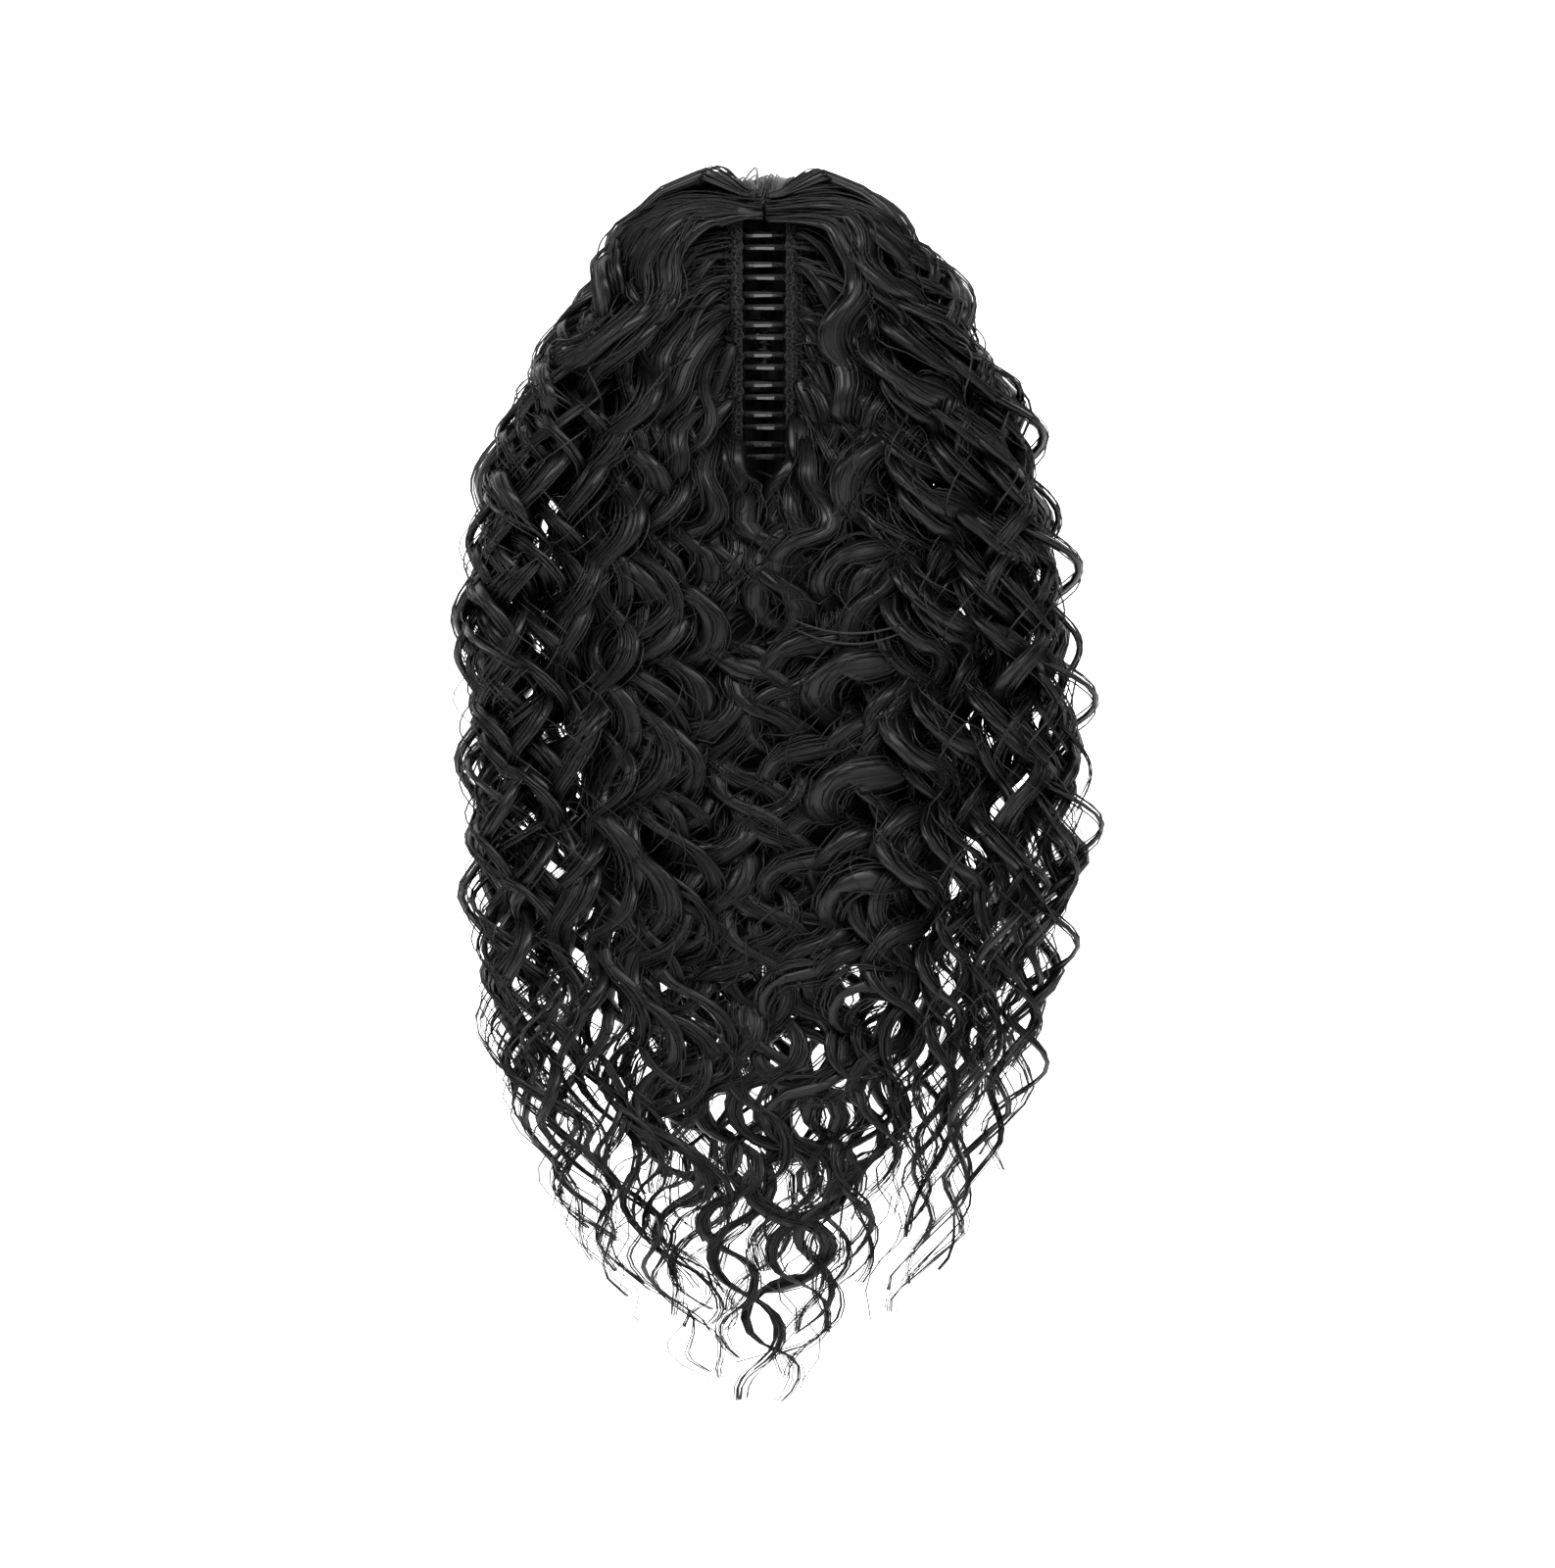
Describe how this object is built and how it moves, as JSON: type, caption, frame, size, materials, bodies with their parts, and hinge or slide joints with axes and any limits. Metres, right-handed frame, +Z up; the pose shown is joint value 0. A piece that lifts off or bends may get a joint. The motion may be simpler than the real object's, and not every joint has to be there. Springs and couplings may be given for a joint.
{
  "type": "claw clip ponytail",
  "caption": "Black hair claw with two sprung toothed jaws, each carrying a sewn weft band and half of a long curly hairpiece.",
  "frame": {"origin": "middle of the space that the closed jaws grip, where the clip sits on the wearer's gathered hair", "axes": "+Z up along the claw and the hair's hang, -Y the toothed side that faces the wearer's head and the picture, +Y the handles, +X to the right of a viewer who looks at the teeth"},
  "size_m": [0.2107, 0.0867, 0.4051],
  "materials": {
    "claw_plastic": "glossy black moulded plastic",
    "pin_steel": "plain drawn wire",
    "spring_steel": "plain spring wire",
    "weft_cloth": "black stitched cloth band with the hair wefts sewn to it",
    "hair_fibre": "natural black fibre in soft waves, low sheen"
  },
  "bodies": {
    "left_half": {"jaw_left": "claw_plastic", "hinge_pin": "pin_steel", "spring": "spring_steel", "weft_band_left": "weft_cloth", "hair_left": "hair_fibre"},
    "right_half": {"jaw_right": "claw_plastic", "weft_band_right": "weft_cloth", "hair_right": "hair_fibre"}
  },
  "joints": [
    {"name": "jaw_hinge", "type": "hinge", "parent": "left_half", "child": "right_half", "pos_m": [0, 0.0185, 0], "axis": [0, 0, 1], "range_deg": [0, 50], "stiffness_Nm_per_rad": 0.25, "springref_deg": -45.84, "deforming": ["spring"]}
  ]
}
